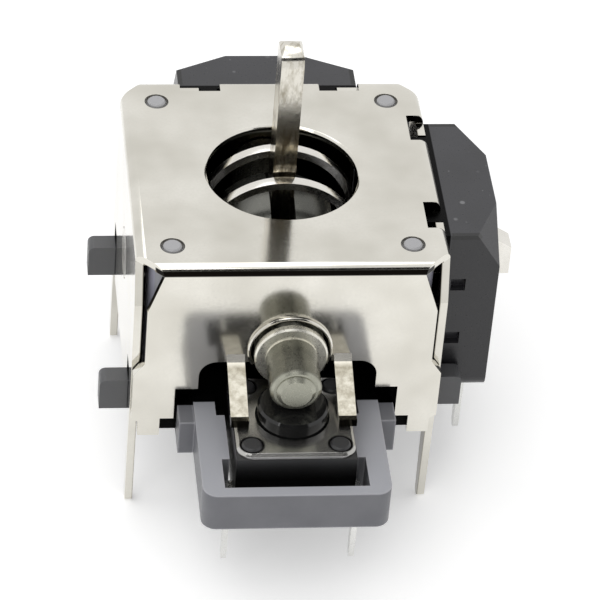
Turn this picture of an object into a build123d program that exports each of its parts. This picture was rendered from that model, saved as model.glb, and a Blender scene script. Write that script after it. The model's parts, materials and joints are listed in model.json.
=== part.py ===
from build123d import *
import os

# Two-axis potentiometer thumbstick with a click switch, in millimetres.
# The origin is on the stick's rest axis in the circuit board's plane.
# +Z runs up the stick, +X points to the right potentiometer, +Y to the rear one,
# and the click switch stands at the front, on -Y.

# Folded steel cover
COVER_WIDTH = 15.7
COVER_HEADROOM = 5.2
SHEET = 0.4
BEND_RADIUS = 0.5
INNER_BEND = 0.1
PLATE_CORNER_CUT = 1.35
STICK_OPENING = 7.75
OPENING_LIP = 0.12

# Outline of each wall: how far its edge stands back from the cover's corner, and the heights
WALL_TOP_INSET = 1.4
WALL_WAIST_INSET = 0.6
WALL_LOBE_INSET = 0.05
END_FOOT_INSET = 0.4
SIDE_FOOT_INSET = 0.65
SHOULDER_DROP = 2.8
WAIST_BOTTOM = 4.7
LOBE_TOP = 3.9
LOBE_BOTTOM = 1.1
FOOT_TOP = 0.9
END_FOOT_WIDTH = 1.1

# Notches in the bends that take the potentiometer hooks
HOOK_NOTCH_WIDTH = 2.1
HOOK_NOTCH_DEPTH = 0.95
HOOK_NOTCH_DROP = 1.6
HOOK_NOTCH_SHALLOW = 0.5

# Solder legs of the cover
LEG_ROOT_HALF = 0.58
LEG_TIP_HALF = 0.33
LEG_LENGTH = 5.4
LEG_SHOULDER = 0.1

# Front wall: window for the switch, hole for the arm and hold-down tabs
SWITCH_WINDOW_HALF = 4.5
SWITCH_WINDOW_TOP = 4.8
SWITCH_WINDOW_CORNER = 0.9
ARM_HOLE_RADIUS = 1.95
ARM_HOLE_RIM = 0.2
ARM_HOLE_RIM_HEIGHT = 0.2
ARM_HOLE_RIM_EDGE = 0.07
TAB_CENTRE = 2.7
TAB_WIDTH = 0.9
TAB_REACH = 3.5
TAB_ROOT_DROP = 0.15
TAB_FOLD = 0.25
TAB_LIP = 0.35

# Moulded base
BASE_FIT = 0.1
FLOOR = 1.2
POST_WALL_FIT = 0.3
POST_WIDTH = 2.3
POST_CORNER = 1.1
STAKE_RADIUS = 0.47
STAKE_HOLE_RADIUS = 0.62
STAKE_RISE = 0.08
PEG_POT_FIT = 0.175
PEG_WIDTH = 1.05
PEG_REACH = 1.45
PEG_BOTTOM = 0.15
PEG_HEIGHT = 2.0
PEG_CORNER = 0.35
PEG_NOTCH_HEADROOM = 0.85
PEG_FIT = 0.1

# Well for the return spring
WELL_RADIUS = 3.5
WELL_WALL = 0.75
WELL_TOP = 3.35
SEAT_BOSS_RADIUS = 2.25
SEAT_BOSS_SHARE = 0.3

# Frame around the switch, moulded on the base
FRAME_HALF = 4.7
FRAME_REACH = 7.1
FRAME_HEIGHT = 2.2
FRAME_FRONT_WALL = 0.62
FRAME_CORNER = 0.75
FRAME_REAR_INNER = 3.62
FRAME_ARM_INNER = 3.2
FRAME_FRONT_INNER = 3.6
FRAME_STEP_REACH = 4.35
EAR_OUTER = 5.5
EAR_REACH = 1.4
EAR_HEIGHT = 2.0
EAR_HEADROOM = 1.05
EAR_FIT = 0.15

# Pivot axes of both arms cross here
PIVOT_HEIGHT = 5.6
JOURNAL_RADIUS = 1.3
JOURNAL_FIT = 0.06

# Lower arm: saddle around the stick, its front rod works the switch
SADDLE_RADIUS = 4.1
SADDLE_HALF = 2.6
SADDLE_BELOW = 0.9
SADDLE_FOOT_HALF = 1.1
SADDLE_FOOT_LENGTH = 3.1
STICK_SLOT_HALF = 2.35
STICK_SIDE_FIT = 0.055
HUB_RADIUS = 1.75
HUB_PLATE_FIT = 0.15
HUB_END_FIT = 0.1
NECK_RADIUS = 1.55
FLANGE_RADIUS = 1.85
FLANGE_RIM_FIT = 0.05
FLANGE_WIDTH = 0.45
FLANGE_EDGE = 0.09
ROD_RADIUS = 1.3
ROD_REACH = 3.25
ROD_EDGE = 0.18
ROD_BOSS_RADIUS = 0.98
ROD_BOSS = 0.25
ROD_BOSS_EDGE = 0.2

# Stick and its cross pin
STICK_THICKNESS = 1.15
STICK_WIDTH = 1.8
STICK_TIP = 18.7
STICK_TIP_EDGE = 0.2
STICK_TIP_BEVEL = 0.35
STICK_HUB_RADIUS = 1.3
STICK_FOOT_HALF = 0.8
FOOT_DROP = 1.4
PIN_RADIUS = 0.5
PIN_FIT = 0.05
PIN_INSET = 0.1

# Upper arm: slotted bow over the saddle
BOW_OUTER_RADIUS = 4.1
BOW_RISE = 1.6
BOW_THICKNESS = 0.4
BOW_RAIL = 0.55
BOW_SLOT_FIT = 0.21
BOW_SLOT_END = 3.5
BOW_HUB_RADIUS = 1.5

# Flat ends of both arms that turn the rotors
BLADE_THICKNESS = 1.2
BLADE_HEIGHT = 2.2
BLADE_REACH = 4.35
BLADE_STEP = 0.8
BLADE_STEP_DROP = 0.5
BLADE_FIT = 0.04
BLADE_ROCK_FIT = 0.07

# Return spring and the plate that it pushes against both arms
PLATE_GAP = 0.32
PLATE_THICKNESS = 0.7
PLATE_RADIUS = 3.35
PLATE_BOSS_RADIUS = 2.3
PLATE_BOSS_SHARE = 0.25
SPRING_RADIUS = 2.72
SPRING_WIRE = 0.4
SPRING_WIRE_SIDES = 6
SPRING_TURNS = 3.0
SPRING_END_FIT = 0.02

# Potentiometers: depths are measured outwards from the cover's wall
POT_POST_FIT = 0.15
POT_BOTTOM = 0.1
POT_TOP_DROP = 0.55
POT_WALL = 0.7
POT_FACE = 1.0
POT_LOWER_CORNER = 0.8
POT_FACET_TOP_HALF = 2.0
POT_FACET_DROP = 2.0
POT_FACET_BACK = 1.3
POT_HOLE_RADIUS = 2.2
POT_SLOT_WIDTH = 1.35
POT_SLOT_NEAR = 1.38
POT_SLOT_HIGH = 3.66
POT_SLOT_FAR = 3.79
POT_SLOT_LOW = 1.4
POT_ARC_RADIUS = 3.65
POT_ARC_WIDTH = 1.15
POT_ARC_START = 196
POT_ARC_SWEEP = 62
POT_SIDE_NOTCH = 0.75
POT_SIDE_NOTCH_DEPTH = 0.45
POT_SIDE_NOTCH_OFF = 0.55
POT_SIDE_NOTCH_LOW = 3.6
POT_SIDE_NOTCH_HIGH = 7.1
HOOK_FIT = 0.1
HOOK_WIDTH = 0.85
HOOK_HEIGHT = 0.9
HOOK_REACH = 0.85

# Element board, rotor and wiper of a potentiometer
BOARD_THICKNESS = 0.6
BOARD_FIT = 0.05
ROTOR_RADIUS = 1.77
ROTOR_FIT = 0.08
ROTOR_FLANGE_RADIUS = 3.3
ROTOR_FLANGE = 0.7
ROTOR_GAP = 0.35
ROTOR_RISE = 0.3
ROTOR_EDGE = 0.12
ROTOR_CHANNEL = 2.0
ROTOR_CHANNEL_FLOOR = 1.6
WIPER_ROOM = 0.3
WIPER_THICKNESS = 0.12
WIPER_INNER = 2.15
WIPER_OUTER = 3.05
WIPER_GAP = 0.03
WIPER_FINGER = 0.5

# Terminals of a potentiometer
TERMINAL_PITCH = 2.5
TERMINAL_WIDTH = 0.82
TERMINAL_THICKNESS = 0.3
TERMINAL_LENGTH = 4.3
TERMINAL_TIP_HALF = 0.28
TERMINAL_TOP = 1.2

# Click switch under the front rod
SWITCH_SIZE = 6.0
SWITCH_REACH = 2.61
SWITCH_DROP = 2.1
SWITCH_SHEET = 0.3
SWITCH_SHEET_INSET = 0.04
SWITCH_SHEET_CORNER = 0.7
SWITCH_SHEET_EDGE = 0.14
SWITCH_CAVITY_RADIUS = 2.35
SWITCH_CAVITY_DEPTH = 1.5
RIVET_SPACING = 4.4
RIVET_RADIUS = 0.52
RIVET_FIT = 0.05
RIVET_RISE = 0.1
PLUNGER_RADIUS = 1.78
PLUNGER_FIT = 0.09
PLUNGER_FLANGE_RADIUS = 2.15
PLUNGER_FLANGE_DROP = 0.7
PLUNGER_FLANGE_FIT = 0.05
PLUNGER_NUB_RADIUS = 0.7
PLUNGER_CONTACT_FIT = 0.02
PLUNGER_EDGE = 0.12
DOME_RADIUS = 2.1
DOME_CROWN_RADIUS = 0.9
DOME_RISE = 0.4
DOME_THICKNESS = 0.1
CONTACT_LEG_X = 3.25
CONTACT_LEG_PITCH = 4.5
CONTACT_THICKNESS = 0.28
CONTACT_WIDTH = 0.7
CONTACT_TIP_WIDTH = 0.4
CONTACT_HEIGHT = 0.9
CONTACT_LENGTH = 3.9
CONTACT_STRIP_X = 2.0

# Places that follow from the sizes above
COVER_HEIGHT = PIVOT_HEIGHT + COVER_HEADROOM
COVER_HALF = COVER_WIDTH / 2
INNER_HALF = COVER_HALF - SHEET
CEILING = COVER_HEIGHT - SHEET
END_FOOT_OUTER = COVER_HALF - END_FOOT_INSET
END_FOOT_INNER = END_FOOT_OUTER - END_FOOT_WIDTH
POST_CENTRE = INNER_HALF - POST_WALL_FIT - POST_WIDTH / 2
POST_INNER = POST_CENTRE - POST_WIDTH / 2
PEG_NOTCH_TOP = PEG_HEIGHT + PEG_NOTCH_HEADROOM
EAR_NOTCH_TOP = EAR_HEIGHT + EAR_HEADROOM
FRAME_FRONT = COVER_HALF + FRAME_REACH
FRAME_STEP = COVER_HALF + FRAME_STEP_REACH
ROD_END = COVER_HALF + ROD_REACH
PLATE_TOP = PIVOT_HEIGHT - FOOT_DROP - PLATE_GAP
PLATE_BOTTOM = PLATE_TOP - PLATE_THICKNESS
SPRING_ROOM = PLATE_BOTTOM - FLOOR
HUB_START = PLATE_RADIUS + HUB_PLATE_FIT
SWITCH_CENTRE = COVER_HALF + SWITCH_REACH
SWITCH_TOP = PIVOT_HEIGHT - SWITCH_DROP
SWITCH_BODY = SWITCH_TOP - SWITCH_SHEET
SWITCH_CAVITY_FLOOR = SWITCH_BODY - SWITCH_CAVITY_DEPTH
PLUNGER_FLANGE_BOTTOM = SWITCH_BODY - PLUNGER_FLANGE_DROP
PLUNGER_TOP = PIVOT_HEIGHT - ROD_RADIUS - PLUNGER_CONTACT_FIT
DOME_TOP = SWITCH_CAVITY_FLOOR + DOME_RISE
POT_WIDTH = 2 * (POST_INNER - POT_POST_FIT)
POT_TOP = COVER_HEIGHT - POT_TOP_DROP
BOARD_BACK = ROTOR_GAP + ROTOR_FLANGE + WIPER_ROOM
BOARD_FRONT = BOARD_BACK + BOARD_THICKNESS
POT_DEPTH = BOARD_FRONT + POT_FACE
HOOK_NOTCH_FAR = POT_WIDTH / 2
HOOK_NOTCH_NEAR = HOOK_NOTCH_FAR - HOOK_NOTCH_WIDTH
HOOK_NOTCH_MIDDLE = HOOK_NOTCH_NEAR + HOOK_WIDTH + 2 * HOOK_FIT
PEG_CENTRE = POT_WIDTH / 2 + PEG_POT_FIT + PEG_WIDTH / 2
PEG_NOTCH_NEAR = PEG_CENTRE - PEG_WIDTH / 2 - PEG_FIT
PEG_NOTCH_FAR = PEG_CENTRE + PEG_WIDTH / 2 + PEG_FIT
LEG_CENTRE = PEG_NOTCH_FAR + LEG_ROOT_HALF


def block(x, y, z):
    """Box between the two ends of x, y and z."""
    size = [abs(ends[1] - ends[0]) for ends in (x, y, z)]
    middle = [(ends[0] + ends[1]) / 2 for ends in (x, y, z)]
    return Pos(*middle) * Box(*size)


def disc(radius, bottom, top):
    """Upright cylinder on the origin's axis."""
    return Pos(0, 0, (bottom + top) / 2) * Cylinder(radius, top - bottom)


def along_x(radius, start, end):
    """Cylinder on the pivot axis that runs along X."""
    return Pos((start + end) / 2, 0, PIVOT_HEIGHT) * Rot(0, 90, 0) * Cylinder(radius, abs(end - start))


def along_y(radius, start, end):
    """Cylinder on the pivot axis that runs along Y."""
    return Pos(0, (start + end) / 2, PIVOT_HEIGHT) * Rot(90, 0, 0) * Cylinder(radius, abs(end - start))


def front_plate(face, near, far):
    """Raises a face drawn in XZ into a plate between y = -near and y = -far."""
    return Pos(0, -near, 0) * extrude(face, far - near, dir=(0, -1, 0))


def both_sides(piece):
    """The piece and its mirror image across the YZ plane."""
    return piece + mirror(piece, Plane.YZ)


def outline(points):
    """Closed face in the XZ plane through the given points."""
    return make_face(Plane.XZ * Polyline(*points, close=True))


def outline_both_sides(points):
    """Face in the XZ plane, drawn on +X and mirrored."""
    mirrored = [(-x, z) for x, z in reversed(points)]
    return outline(points + mirrored)


def one(shape):
    """Cleans a result and returns its single solid."""
    solids = shape.solids()
    if len(solids) != 1:
        raise ValueError("expected one solid, got %d" % len(solids))
    return solids[0]


# A side is drawn facing -Y, then turned to its place
FRONT = Rot(0, 0, 0)
RIGHT = Rot(0, 0, 90)
REAR = Rot(0, 0, 180)
LEFT = Rot(0, 0, 270)


def folded_shell():
    """Hollow box with rounded upper bends, open below."""
    outer = block((-COVER_HALF, COVER_HALF), (-COVER_HALF, COVER_HALF), (0, COVER_HEIGHT))
    outer = fillet(outer.faces().sort_by(Axis.Z)[-1].edges(), BEND_RADIUS)
    inner = block((-INNER_HALF, INNER_HALF), (-INNER_HALF, INNER_HALF), (0, CEILING))
    inner = chamfer(inner.faces().sort_by(Axis.Z)[-1].edges(), INNER_BEND)
    return outer - inner


def wall_face(lobe_inset, foot_inset):
    """Outline of one wall, from its bend down to its feet."""
    top_half = COVER_HALF - WALL_TOP_INSET
    waist_half = COVER_HALF - WALL_WAIST_INSET
    lobe_half = COVER_HALF - lobe_inset
    foot_half = COVER_HALF - foot_inset
    return outline_both_sides([
        (top_half, COVER_HEIGHT),
        (top_half, CEILING),
        (waist_half, COVER_HEIGHT - SHOULDER_DROP),
        (waist_half, WAIST_BOTTOM),
        (lobe_half, LOBE_TOP),
        (lobe_half, LOBE_BOTTOM),
        (foot_half, FOOT_TOP),
        (foot_half, 0),
    ])


def tapered_pin(root_half, tip_half, top, shoulder, length, near, far):
    """Flat pin with a straight head, tapered from its shoulder to a rounded tip."""
    tip_centre = -length + tip_half
    side = outline_both_sides([
        (root_half, top),
        (root_half, shoulder),
        (tip_half, tip_centre),
    ])
    tip = Pos(0, 0, tip_centre) * (Plane.XZ * Circle(tip_half))
    return front_plate(side, near, far) + front_plate(tip, near, far)


def leg():
    """Tapered solder leg below a side wall."""
    foot = FOOT_TOP - LEG_SHOULDER
    pin = tapered_pin(LEG_ROOT_HALF, LEG_TIP_HALF, FOOT_TOP, foot, LEG_LENGTH, INNER_HALF, COVER_HALF)
    return Pos(LEG_CENTRE, 0, 0) * pin


def side_wall(shell):
    """Side wall of the folded shell, facing -Y."""
    depth = (INNER_HALF - INNER_BEND, COVER_HALF)
    return shell & front_plate(wall_face(WALL_WAIST_INSET, SIDE_FOOT_INSET), *depth)


def end_wall(shell):
    """Front or rear wall of the folded shell on its two narrow feet, facing -Y."""
    depth = (INNER_HALF - INNER_BEND, COVER_HALF)
    piece = shell & front_plate(wall_face(WALL_LOBE_INSET, END_FOOT_INSET), *depth)
    raised = block((PEG_NOTCH_NEAR, END_FOOT_INNER), (-COVER_HALF, -INNER_HALF), (0, LOBE_BOTTOM))
    return piece - both_sides(raised)


def peg_notches():
    """Notches of a wall around the two pegs of the base."""
    notch = block((PEG_NOTCH_NEAR, PEG_NOTCH_FAR), (-COVER_HALF, -INNER_HALF), (0, PEG_NOTCH_TOP))
    return both_sides(notch)


def hook_notches():
    """Cuts through a bend: deep where a potentiometer's hook passes, shallow beside it."""
    depth = (-COVER_HALF, -COVER_HALF + HOOK_NOTCH_DEPTH)
    deep = (COVER_HEIGHT - HOOK_NOTCH_DROP, COVER_HEIGHT)
    shallow = (COVER_HEIGHT - HOOK_NOTCH_SHALLOW, COVER_HEIGHT)
    hook_cut = block((HOOK_NOTCH_NEAR, HOOK_NOTCH_MIDDLE), depth, deep)
    side_cut = block((HOOK_NOTCH_MIDDLE, HOOK_NOTCH_FAR), depth, shallow)
    return both_sides(hook_cut + side_cut)


def bearing_hole():
    """Hole in a side wall for an arm's journal."""
    return along_y(JOURNAL_RADIUS + JOURNAL_FIT, -COVER_HALF, -INNER_HALF)


def switch_window():
    """Opening of the front wall around the switch, the frame's ears and the arm."""
    window = Plane.XZ * Rectangle(2 * SWITCH_WINDOW_HALF, 2 * SWITCH_WINDOW_TOP)
    window = fillet(window.vertices(), SWITCH_WINDOW_CORNER)
    cut = front_plate(window, INNER_HALF, COVER_HALF)
    ear_half = EAR_OUTER + EAR_FIT
    ears = block((-ear_half, ear_half), (-COVER_HALF, -INNER_HALF), (0, EAR_NOTCH_TOP))
    return cut + ears + along_y(ARM_HOLE_RADIUS, -COVER_HALF, -INNER_HALF)


def arm_hole_rim():
    """Collar pressed out around the upper part of the arm's hole."""
    outer = ARM_HOLE_RADIUS + ARM_HOLE_RIM
    ring = along_y(outer, -COVER_HALF - ARM_HOLE_RIM_HEIGHT, -INNER_HALF)
    ring = ring - along_y(ARM_HOLE_RADIUS, -COVER_HALF - ARM_HOLE_RIM_HEIGHT, -INNER_HALF)
    rim_edges = ring.edges().filter_by(GeomType.CIRCLE).sort_by(Axis.Y)[:2]
    ring = chamfer(rim_edges, ARM_HOLE_RIM_EDGE)
    upper = block((-outer, outer), (-COVER_WIDTH, 0), (SWITCH_WINDOW_TOP, COVER_HEIGHT))
    return ring & upper


def hold_down_tab():
    """Strip bent out of the front wall, its flat lip presses on the switch."""
    root = SWITCH_WINDOW_TOP + SHEET - TAB_ROOT_DROP
    end = COVER_HALF + TAB_REACH
    lip_top = SWITCH_TOP + SHEET
    slope = Line((-COVER_HALF, root), (TAB_LIP - end, lip_top))
    fold = slope @ (TAB_FOLD / slope.length)
    strip = make_face(Plane.YZ * Polyline(
        (-INNER_HALF, root),
        (-COVER_HALF, root - SHEET),
        (TAB_LIP - end, SWITCH_TOP),
        (-end, SWITCH_TOP),
        (-end, lip_top),
        (TAB_LIP - end, lip_top),
        (fold.X, fold.Y),
        (-COVER_HALF, root + TAB_FOLD),
        (-INNER_HALF, root + TAB_FOLD),
        close=True,
    ))
    return Pos(TAB_CENTRE - TAB_WIDTH / 2, 0, 0) * extrude(strip, TAB_WIDTH, dir=(1, 0, 0))


def make_cover():
    """Steel cover: top plate, four walls, four legs and two tabs, one folded sheet."""
    shell = folded_shell()
    plate = block((-COVER_HALF, COVER_HALF), (-COVER_HALF, COVER_HALF), (CEILING - INNER_BEND, COVER_HEIGHT))
    plate = chamfer(plate.edges().filter_by(Axis.Z), PLATE_CORNER_CUT)
    cover = shell & plate
    end = end_wall(shell)
    side = side_wall(shell) - peg_notches() - bearing_hole() + both_sides(leg())
    cover = cover + FRONT * (end - switch_window())
    cover = cover + FRONT * arm_hole_rim() + both_sides(hold_down_tab())
    cover = cover + REAR * (end - peg_notches() - bearing_hole())
    cover = cover + RIGHT * side + LEFT * side
    cover = cover - REAR * hook_notches() - RIGHT * hook_notches()
    radius = STICK_OPENING / 2
    opening = disc(radius, CEILING, COVER_HEIGHT)
    flare = Cone(radius, radius + OPENING_LIP, OPENING_LIP)
    opening = opening + Pos(0, 0, COVER_HEIGHT - OPENING_LIP / 2) * flare
    spacing = 2 * POST_CENTRE
    stakes = GridLocations(spacing, spacing, 2, 2) * disc(STAKE_HOLE_RADIUS, CEILING, COVER_HEIGHT)
    for cut in [opening] + list(stakes):
        cover = cover - cut
    return one(cover)


def make_post():
    """Corner post with the stake that holds the cover."""
    sides = (POST_INNER, POST_INNER + POST_WIDTH)
    post = block(sides, sides, (0, CEILING))
    corner = post.edges().filter_by(Axis.Z).sort_by(lambda edge: edge.center().X + edge.center().Y)[-1]
    post = fillet(corner, POST_CORNER)
    stake = Pos(POST_CENTRE, POST_CENTRE, 0) * disc(STAKE_RADIUS, CEILING, COVER_HEIGHT + STAKE_RISE)
    stake = chamfer(stake.faces().sort_by(Axis.Z)[-1].edges(), STAKE_RISE)
    return post + stake


def pegs():
    """The two hooks of the base that show through a wall, facing -Y."""
    peg = block(
        (PEG_CENTRE - PEG_WIDTH / 2, PEG_CENTRE + PEG_WIDTH / 2),
        (-COVER_HALF - PEG_REACH, -INNER_HALF + BASE_FIT),
        (PEG_BOTTOM, PEG_HEIGHT),
    )
    outer_edge = peg.edges().filter_by(Axis.X).group_by(Axis.Y)[0].sort_by(Axis.Z)[-1]
    return both_sides(fillet(outer_edge, PEG_CORNER))


def switch_frame():
    """U-shaped frame and ears, moulded on the base, that hold the switch."""
    rear = INNER_HALF - BASE_FIT
    body = block((-FRAME_HALF, FRAME_HALF), (-FRAME_FRONT, -rear), (0, FRAME_HEIGHT))
    body = fillet(body.edges().filter_by(Axis.Z).group_by(Axis.Y)[0], FRAME_CORNER)
    arm_room = block((-FRAME_ARM_INNER, FRAME_ARM_INNER), (-FRAME_STEP, -rear), (0, FRAME_HEIGHT))
    front_inner = FRAME_FRONT - FRAME_FRONT_WALL
    leg_room = block((-FRAME_FRONT_INNER, FRAME_FRONT_INNER), (-front_inner, -FRAME_STEP), (0, FRAME_HEIGHT))
    ears = both_sides(block((FRAME_REAR_INNER, EAR_OUTER), (-COVER_HALF - EAR_REACH, -rear), (0, EAR_HEIGHT)))
    contact_y = SWITCH_CENTRE - CONTACT_LEG_PITCH / 2
    contact_room = (-contact_y - CONTACT_WIDTH, -rear)
    rear_room = block((-FRAME_REAR_INNER, FRAME_REAR_INNER), contact_room, (0, FRAME_HEIGHT))
    return body + ears - arm_room - leg_room - rear_room


def make_base_frame():
    """Moulded base: floor, spring well, posts with stakes, pegs and switch frame."""
    half = INNER_HALF - BASE_FIT
    base = block((-half, half), (-half, half), (0, FLOOR))
    for location in (FRONT, RIGHT, REAR, LEFT):
        base = base + location * make_post()
    for location in (RIGHT, REAR, LEFT):
        base = base + location * pegs()
    well = disc(WELL_RADIUS + WELL_WALL, 0, WELL_TOP) - disc(WELL_RADIUS, FLOOR, WELL_TOP)
    base = base + well + disc(SEAT_BOSS_RADIUS, 0, FLOOR + SEAT_BOSS_SHARE * SPRING_ROOM)
    return one(base + switch_frame())


def blade():
    """Flat end of an arm that turns a rotor, facing -Y from the journal."""
    end = COVER_HALF + BLADE_REACH
    top = PIVOT_HEIGHT + BLADE_HEIGHT / 2
    bottom = PIVOT_HEIGHT - BLADE_HEIGHT / 2
    side = make_face(Plane.YZ * Polyline(
        (-INNER_HALF, bottom),
        (-INNER_HALF, top),
        (-end + BLADE_STEP, top),
        (-end, top - BLADE_STEP_DROP),
        (-end, bottom),
        close=True,
    ))
    flat = Pos(-BLADE_THICKNESS / 2, 0, 0) * extrude(side, BLADE_THICKNESS, dir=(1, 0, 0))
    return flat & along_y(JOURNAL_RADIUS, -end, -INNER_HALF)


def make_lower_arm():
    """Saddle with its slot, hubs, rear journal and blade, front neck, flange and rod."""
    below = PIVOT_HEIGHT - SADDLE_BELOW
    saddle_top = PIVOT_HEIGHT + SADDLE_RADIUS
    saddle = Pos(0, 0, PIVOT_HEIGHT) * Sphere(SADDLE_RADIUS)
    saddle = saddle & block(
        (-SADDLE_HALF, SADDLE_HALF),
        (-SADDLE_RADIUS, SADDLE_RADIUS),
        (below, saddle_top),
    )
    foot = block(
        (-SADDLE_FOOT_HALF, SADDLE_FOOT_HALF),
        (-SADDLE_FOOT_LENGTH, SADDLE_FOOT_LENGTH),
        (PIVOT_HEIGHT - FOOT_DROP, PIVOT_HEIGHT),
    )
    hub_end = INNER_HALF - HUB_END_FIT
    rear = along_y(HUB_RADIUS, HUB_START, hub_end) + along_y(JOURNAL_RADIUS, hub_end, COVER_HALF)
    rear = rear + REAR * blade()
    flange_start = COVER_HALF + ARM_HOLE_RIM_HEIGHT + FLANGE_RIM_FIT
    flange_end = flange_start + FLANGE_WIDTH
    flange = along_y(FLANGE_RADIUS, -flange_start, -flange_end)
    flange = chamfer(flange.edges().filter_by(GeomType.CIRCLE), FLANGE_EDGE)
    rod = along_y(ROD_RADIUS, -flange_end, -ROD_END)
    rod = chamfer(rod.edges().filter_by(GeomType.CIRCLE).sort_by(Axis.Y)[0], ROD_EDGE)
    boss = along_y(ROD_BOSS_RADIUS, -ROD_END, -ROD_END - ROD_BOSS)
    boss = chamfer(boss.edges().filter_by(GeomType.CIRCLE).sort_by(Axis.Y)[0], ROD_BOSS_EDGE)
    front = along_y(HUB_RADIUS, -HUB_START, -hub_end) + along_y(NECK_RADIUS, -hub_end, -flange_start)
    arm = saddle + foot + rear + front + flange + rod + boss
    slot_half = STICK_THICKNESS / 2 + STICK_SIDE_FIT
    slot = block((-slot_half, slot_half), (-STICK_SLOT_HALF, STICK_SLOT_HALF), (0, saddle_top))
    return one(arm - slot - along_x(PIN_RADIUS, -SADDLE_HALF, SADDLE_HALF))


def make_stick_pin():
    """Cross pin, pressed into the saddle, that the stick swings on."""
    return one(along_x(PIN_RADIUS, -SADDLE_HALF + PIN_INSET, SADDLE_HALF - PIN_INSET))


def make_stick():
    """Stamped blade with a full round, bevelled tip, a hub on the pin and a flat foot."""
    half = STICK_THICKNESS / 2
    reach = STICK_WIDTH / 2
    shank = block((-half, half), (-reach, reach), (PIVOT_HEIGHT, STICK_TIP - reach))
    tip = Pos(0, 0, STICK_TIP - reach) * Rot(0, 90, 0) * Cylinder(reach, STICK_THICKNESS)
    tip = tip & front_plate(outline_both_sides([
        (half - STICK_TIP_EDGE, STICK_TIP),
        (half, STICK_TIP - STICK_TIP_BEVEL),
        (half, PIVOT_HEIGHT),
    ]), -reach, reach)
    hub = along_x(STICK_HUB_RADIUS, -half, half)
    foot = block((-half, half), (-STICK_FOOT_HALF, STICK_FOOT_HALF), (PIVOT_HEIGHT - FOOT_DROP, PIVOT_HEIGHT))
    stick = shank + tip + hub + foot
    return one(stick - along_x(PIN_RADIUS + PIN_FIT, -half, half))


def make_upper_arm():
    """Slotted bow over the saddle, with hubs, journals and the right blade."""
    centre = PIVOT_HEIGHT + BOW_RISE
    inner_radius = BOW_OUTER_RADIUS - BOW_THICKNESS
    slot_half = STICK_WIDTH / 2 + BOW_SLOT_FIT
    half_width = slot_half + BOW_RAIL
    band = Pos(0, 0, centre) * Rot(90, 0, 0) * Cylinder(BOW_OUTER_RADIUS, 2 * half_width)
    hollow = Pos(0, 0, centre) * Rot(90, 0, 0) * Cylinder(inner_radius, 2 * half_width)
    above = block(
        (-BOW_OUTER_RADIUS, BOW_OUTER_RADIUS),
        (-half_width, half_width),
        (centre, centre + BOW_OUTER_RADIUS),
    )
    arch = (band - hollow) & above
    side = block((inner_radius, BOW_OUTER_RADIUS), (-half_width, half_width), (PIVOT_HEIGHT, centre))
    hub_end = INNER_HALF - HUB_END_FIT
    root = along_x(half_width, inner_radius, BOW_OUTER_RADIUS)
    support = side + root + along_x(BOW_HUB_RADIUS, BOW_OUTER_RADIUS, hub_end)
    support = support + along_x(JOURNAL_RADIUS, hub_end, COVER_HALF)
    slot = block((-BOW_SLOT_END, BOW_SLOT_END), (-slot_half, slot_half), (centre, centre + BOW_OUTER_RADIUS))
    return one(arch + both_sides(support) - slot + RIGHT * blade())


def make_spring_plate():
    """Round plate under both arms, with a boss that centres the spring."""
    plate = disc(PLATE_RADIUS, PLATE_BOTTOM, PLATE_TOP)
    boss = disc(PLATE_BOSS_RADIUS, PLATE_BOTTOM - PLATE_BOSS_SHARE * SPRING_ROOM, PLATE_BOTTOM)
    return one(plate + boss)


def make_return_spring():
    """Coil between the base's floor and the spring plate."""
    bottom = FLOOR + SPRING_END_FIT + SPRING_WIRE / 2
    height = PLATE_BOTTOM - SPRING_END_FIT - SPRING_WIRE / 2 - bottom
    path = Pos(0, 0, bottom) * Helix(height / SPRING_TURNS, height, SPRING_RADIUS)
    section = Plane(path @ 0, z_dir=path % 0) * RegularPolygon(SPRING_WIRE / 2, SPRING_WIRE_SIDES)
    return one(sweep(section, path, is_frenet=True))


def pot_depth(near, far):
    """Depths measured from the cover's wall, as distances from the stick's axis."""
    return COVER_HALF + near, COVER_HALF + far


def terminal_places():
    """Places of the left, centre and right terminal of a side."""
    return [("left", -TERMINAL_PITCH), ("centre", 0), ("right", TERMINAL_PITCH)]


def pot_terminal(place):
    """Flat terminal against the element board."""
    depths = pot_depth(BOARD_FRONT, BOARD_FRONT + TERMINAL_THICKNESS)
    pin = tapered_pin(TERMINAL_WIDTH / 2, TERMINAL_TIP_HALF, TERMINAL_TOP, 0, TERMINAL_LENGTH, *depths)
    return one(Pos(place, 0, 0) * pin)


def pot_windows():
    """Rotor hole, two straight slots and two arc slots in the face."""
    face = Pos(0, 0, PIVOT_HEIGHT) * (Plane.XZ * Circle(POT_HOLE_RADIUS))
    slot_line = Line((POT_SLOT_NEAR, POT_SLOT_HIGH), (POT_SLOT_FAR, POT_SLOT_LOW))
    middle = slot_line @ (1 / 2)
    slot = Plane.XZ * SlotCenterToCenter(slot_line.length, POT_SLOT_WIDTH, rotation=0)
    slope = Rot(0, (slot_line % 0).get_angle(Vector(1, 0, 0)), 0)
    slot = Pos(middle.X, 0, PIVOT_HEIGHT + middle.Y) * slope * slot
    arc = CenterArc((0, 0), POT_ARC_RADIUS, POT_ARC_START, POT_ARC_SWEEP)
    window = Pos(0, 0, PIVOT_HEIGHT) * (Plane.XZ * SlotArc(arc, POT_ARC_WIDTH))
    depths = pot_depth(BOARD_FRONT, POT_DEPTH)
    cuts = front_plate(face, *depths)
    return cuts + both_sides(front_plate(slot, *depths)) + both_sides(front_plate(window, *depths))


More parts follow.
